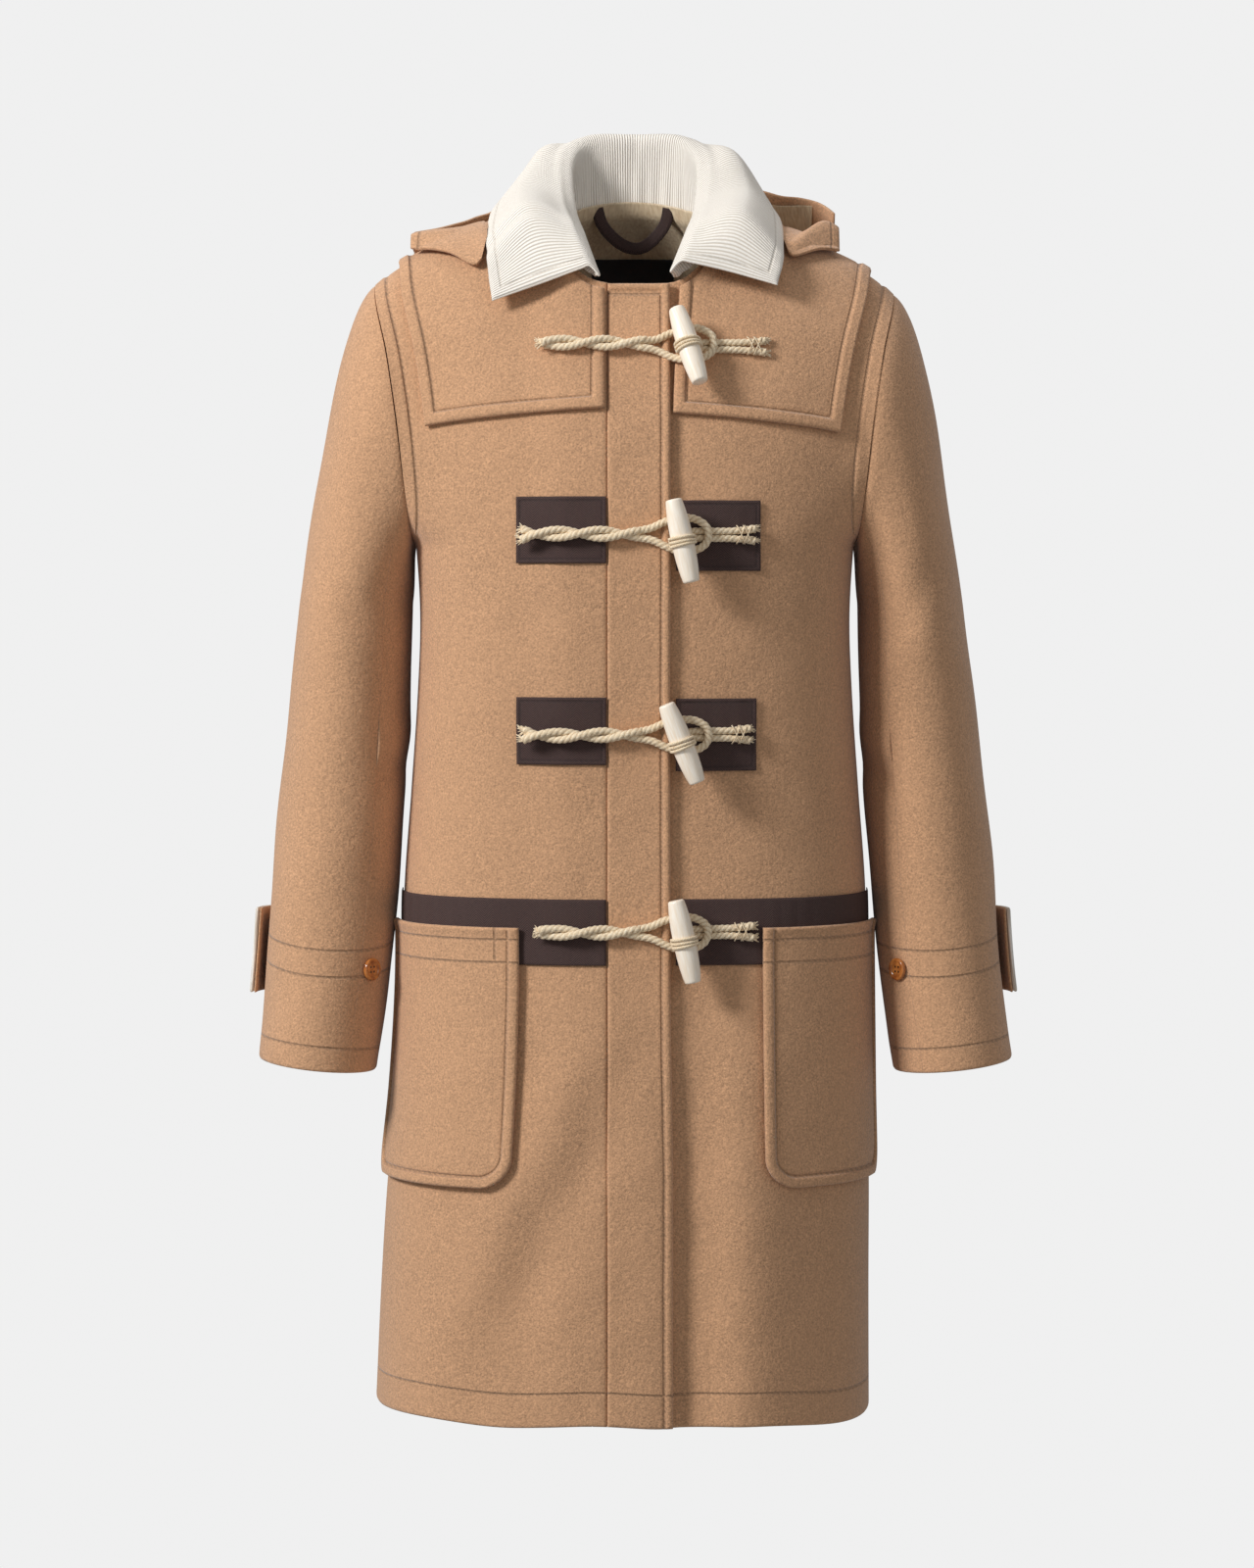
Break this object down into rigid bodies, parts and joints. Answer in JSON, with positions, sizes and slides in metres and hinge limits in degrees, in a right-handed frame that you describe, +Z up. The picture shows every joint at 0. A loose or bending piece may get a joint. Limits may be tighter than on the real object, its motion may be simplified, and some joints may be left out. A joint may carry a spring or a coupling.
{
  "type": "duffle coat",
  "caption": "Knee-length duffle coat in its worn shape, with toggle and rope closure, corduroy collar, hanging hood, storm yoke and patch pockets.",
  "frame": {"origin": "middle of the neck base, between the shoulders that carry the coat", "axes": "+Z up along the coat from hem to neck, -Y towards the front, +X towards the wearer's left"},
  "size_m": [0.6212, 0.3406, 1.0307],
  "materials": {
    "wool_melton": "matte napped wool",
    "cream_corduroy": "matte ribbed pile",
    "beige_satin": "soft satin sheen",
    "brown_twill": "matte herringbone twill",
    "black_label": "matte woven",
    "jute_rope": "matte twisted rope",
    "pale_wood": "smooth satin wood",
    "brown_horn": "polished horn look"
  },
  "bodies": {
    "root": {"front_right": "wool_melton", "front_left": "wool_melton", "placket": "wool_melton", "back_panel": "wool_melton", "yoke_front_right": "wool_melton", "yoke_front_left": "wool_melton", "yoke_back": "wool_melton", "hood": "wool_melton", "sleeve_top_right": "wool_melton", "sleeve_top_left": "wool_melton", "sleeve_under_right": "wool_melton", "sleeve_under_left": "wool_melton", "cuff_tab_right": "wool_melton", "cuff_tab_left": "wool_melton", "pocket_right": "wool_melton", "pocket_left": "wool_melton", "collar": "cream_corduroy", "cuff_tab_facing_right": "cream_corduroy", "cuff_tab_facing_left": "cream_corduroy", "back_lining": "beige_satin", "hood_lining": "beige_satin", "waist_band_right": "brown_twill", "waist_band_left": "brown_twill", "patch_upper_right": "brown_twill", "patch_lower_right": "brown_twill", "patch_upper_left": "brown_twill", "patch_lower_left": "brown_twill", "hanger_loop": "brown_twill", "neck_label": "black_label", "loop_cord_1": "jute_rope", "toggle_cord_1": "jute_rope", "toggle_1": "pale_wood", "loop_cord_2": "jute_rope", "toggle_cord_2": "jute_rope", "toggle_2": "pale_wood", "loop_cord_3": "jute_rope", "toggle_cord_3": "jute_rope", "toggle_3": "pale_wood", "loop_cord_4": "jute_rope", "toggle_cord_4": "jute_rope", "toggle_4": "pale_wood", "cuff_button_right": "brown_horn", "cuff_button_left": "brown_horn"}
  },
  "joints": []
}
